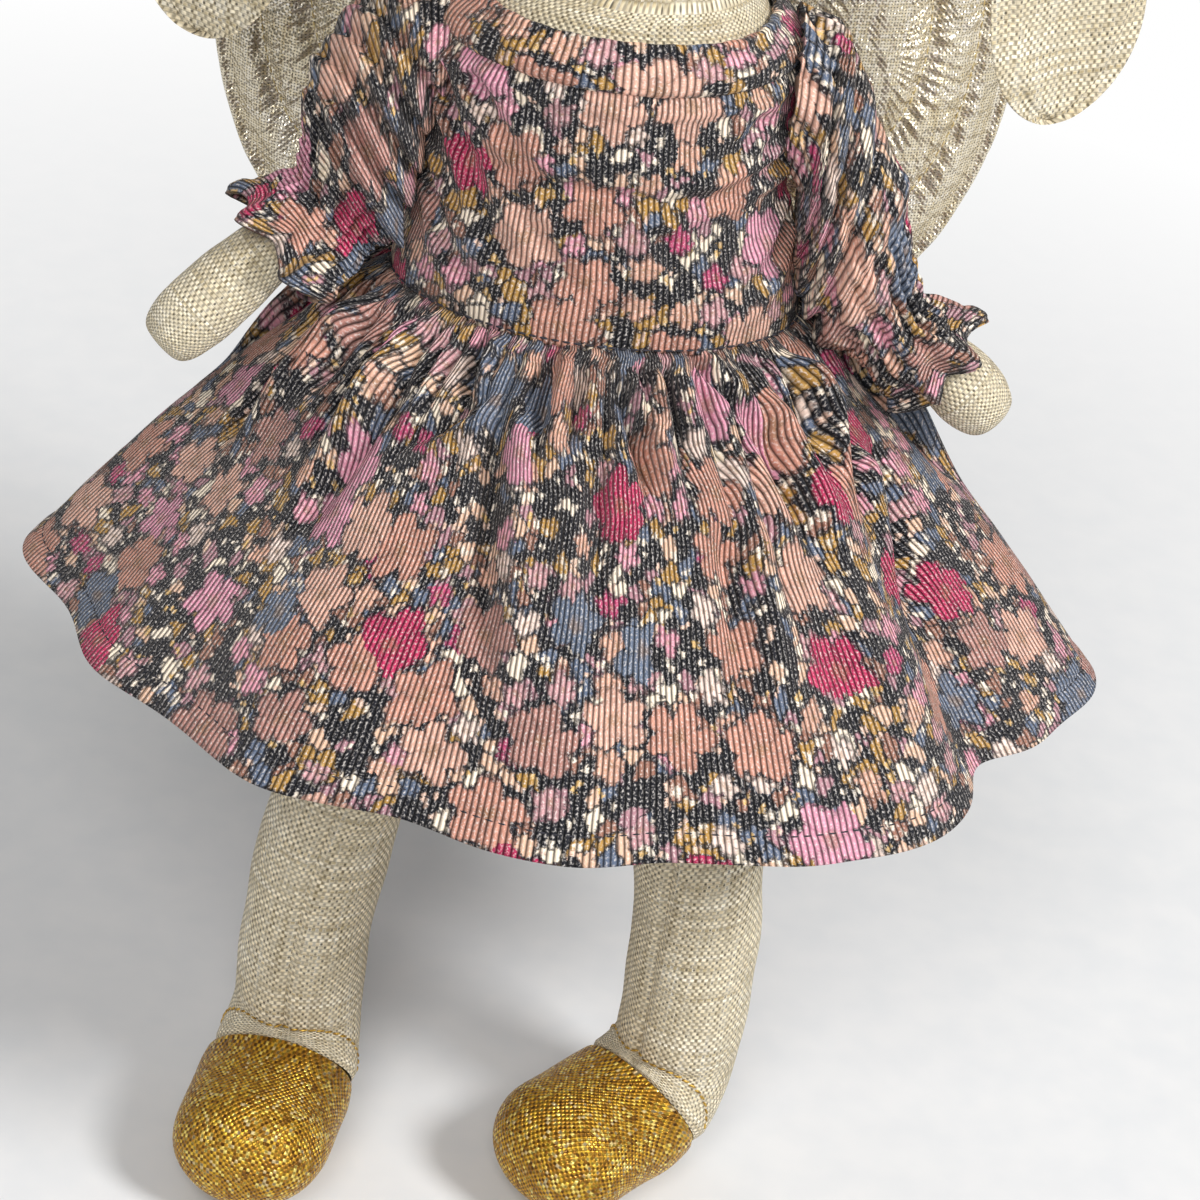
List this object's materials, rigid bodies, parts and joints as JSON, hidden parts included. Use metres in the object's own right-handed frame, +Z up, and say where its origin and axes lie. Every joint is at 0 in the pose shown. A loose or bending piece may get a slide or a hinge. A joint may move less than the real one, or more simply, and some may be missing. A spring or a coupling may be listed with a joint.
{
  "type": "plush bunny doll",
  "caption": "Linen plush bunny with hanging ears and bowed legs, in a gathered floral needlecord dress with frilled sleeves, gold toes and quilted fairy wings.",
  "frame": {"origin": "middle of the flat seat under the torso", "axes": "+Z up, the toy faces -Y, its own left side is +X"},
  "size_m": [0.2254, 0.172, 0.372],
  "materials": {
    "linen": "natural oatmeal linen, plain weave",
    "linen_lining": "natural linen, lighter face",
    "fibre_fill": "polyester fibre fill",
    "floral_needlecord": "fine needlecord, dense floral print on navy",
    "gold_lurex": "gold metallic knit",
    "champagne_lame": "champagne metallic weave, quilted",
    "black_bead": "polished black bead",
    "embroidery_thread": "satin-stitched cotton thread",
    "white_elastic": "woven elastic",
    "press_stud_steel": "plated steel"
  },
  "bodies": {
    "torso": {"torso_skin": "linen", "torso_stuffing": "fibre_fill", "bodice_front": "floral_needlecord", "bodice_back_left": "floral_needlecord", "bodice_back_right": "floral_needlecord", "neckband": "floral_needlecord", "press_stud_lower": "press_stud_steel", "press_stud_upper": "press_stud_steel", "skirt_back": "floral_needlecord", "wing_patch": "champagne_lame"},
    "head": {"head_skin": "linen", "head_stuffing": "fibre_fill", "eye_left": "black_bead", "eye_right": "black_bead", "nose": "embroidery_thread"},
    "hip_seam": {"hip_seam": "linen"},
    "skirt_front": {"skirt_front": "floral_needlecord"},
    "ear_left": {"ear_outer_left": "linen", "ear_lining_left": "linen_lining"},
    "arm_left": {"arm_skin_left": "linen", "arm_stuffing_left": "fibre_fill", "sleeve_left": "floral_needlecord", "cuff_elastic_left": "white_elastic"},
    "leg_left": {"leg_skin_left": "linen", "leg_stuffing_left": "fibre_fill", "shoe_toe_left": "gold_lurex"},
    "wing_left": {"wing_front_left": "champagne_lame", "wing_wadding_left": "fibre_fill", "wing_back_left": "champagne_lame"},
    "ear_right": {"ear_outer_right": "linen", "ear_lining_right": "linen_lining"},
    "arm_right": {"arm_skin_right": "linen", "arm_stuffing_right": "fibre_fill", "sleeve_right": "floral_needlecord", "cuff_elastic_right": "white_elastic"},
    "leg_right": {"leg_skin_right": "linen", "leg_stuffing_right": "fibre_fill", "shoe_toe_right": "gold_lurex"},
    "wing_right": {"wing_front_right": "champagne_lame", "wing_wadding_right": "fibre_fill", "wing_back_right": "champagne_lame"}
  },
  "joints": [
    {"name": "head_nod", "type": "hinge", "parent": "torso", "child": "head", "pos_m": [0, 0, 0.11], "axis": [1, 0, 0], "range_deg": [-15, 20], "stiffness_Nm_per_rad": 0.4},
    {"name": "sit", "type": "hinge", "parent": "torso", "child": "hip_seam", "pos_m": [0, -0.018, -0.0017], "axis": [-1, 0, 0], "range_deg": [0, 80]},
    {"name": "skirt_lift", "type": "hinge", "parent": "torso", "child": "skirt_front", "pos_m": [0, -0.0267, 0.038], "axis": [-1, 0, 0], "range_deg": [0, 40]},
    {"name": "ear_left", "type": "hinge", "parent": "head", "child": "ear_left", "pos_m": [0.023, 0, 0.20137], "axis": [0, -1, 0], "range_deg": [0, 95]},
    {"name": "shoulder_left", "type": "hinge", "parent": "torso", "child": "arm_left", "pos_m": [0.0355, 0, 0.087], "axis": [-1, 0, 0], "range_deg": [-18, 77], "stiffness_Nm_per_rad": 0.05},
    {"name": "leg_swing_left", "type": "hinge", "parent": "hip_seam", "child": "leg_left", "pos_m": [0, -0.018, -0.0017], "axis": [-1, 0, 0], "range_deg": [-25, 8]},
    {"name": "wing_left", "type": "hinge", "parent": "torso", "child": "wing_left", "pos_m": [0.006, 0.03242, 0], "axis": [0, 0, 1], "range_deg": [-5, 35], "stiffness_Nm_per_rad": 0.02},
    {"name": "ear_right", "type": "hinge", "parent": "head", "child": "ear_right", "pos_m": [-0.023, 0, 0.20137], "axis": [0, 1, 0], "range_deg": [0, 95]},
    {"name": "shoulder_right", "type": "hinge", "parent": "torso", "child": "arm_right", "pos_m": [-0.0355, 0, 0.087], "axis": [-1, 0, 0], "range_deg": [-32, 63], "stiffness_Nm_per_rad": 0.05},
    {"name": "leg_swing_right", "type": "hinge", "parent": "hip_seam", "child": "leg_right", "pos_m": [0, -0.018, -0.0017], "axis": [-1, 0, 0], "range_deg": [-25, 8]},
    {"name": "wing_right", "type": "hinge", "parent": "torso", "child": "wing_right", "pos_m": [-0.006, 0.03242, 0], "axis": [0, 0, -1], "range_deg": [-5, 35], "stiffness_Nm_per_rad": 0.02}
  ],
  "couplings": [
    {"joint": "skirt_lift", "follows": "sit", "ratio": 0.5}
  ]
}
